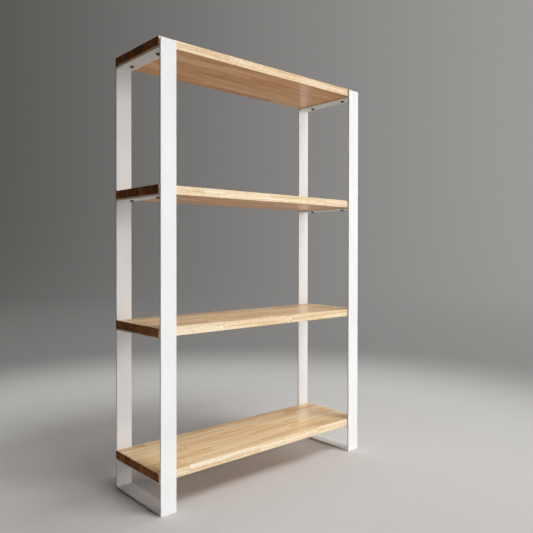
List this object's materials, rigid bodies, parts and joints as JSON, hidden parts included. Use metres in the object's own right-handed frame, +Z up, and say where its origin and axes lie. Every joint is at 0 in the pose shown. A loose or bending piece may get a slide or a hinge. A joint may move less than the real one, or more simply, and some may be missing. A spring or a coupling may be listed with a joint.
{
  "type": "shelving unit",
  "caption": "Free-standing open shelving unit: welded end frames of flat painted bar carry thick laminated wood boards, one above the other, screwed down from below.",
  "frame": {"origin": "on the floor, at the centre of the unit's footprint", "axes": "+Z up, X along the boards, Y from the front to the back, so the front faces -Y"},
  "size_m": [1, 0.312, 1.565],
  "materials": {
    "white_paint": "satin",
    "laminated_wood": "satin lacquer",
    "screw_steel": "blackened"
  },
  "bodies": {
    "root": {"left_front_upright": "white_paint", "left_back_upright": "white_paint", "left_foot_bar": "white_paint", "left_bottom_cross_bar": "white_paint", "left_lower_cross_bar": "white_paint", "left_upper_cross_bar": "white_paint", "left_top_cross_bar": "white_paint", "left_weld_beads": "white_paint", "right_front_upright": "white_paint", "right_back_upright": "white_paint", "right_foot_bar": "white_paint", "right_bottom_cross_bar": "white_paint", "right_lower_cross_bar": "white_paint", "right_upper_cross_bar": "white_paint", "right_top_cross_bar": "white_paint", "right_weld_beads": "white_paint", "bottom_board": "laminated_wood", "bottom_board_screws": "screw_steel", "lower_board": "laminated_wood", "lower_board_screws": "screw_steel", "upper_board": "laminated_wood", "upper_board_screws": "screw_steel", "top_board": "laminated_wood", "top_board_screws": "screw_steel"}
  },
  "joints": []
}
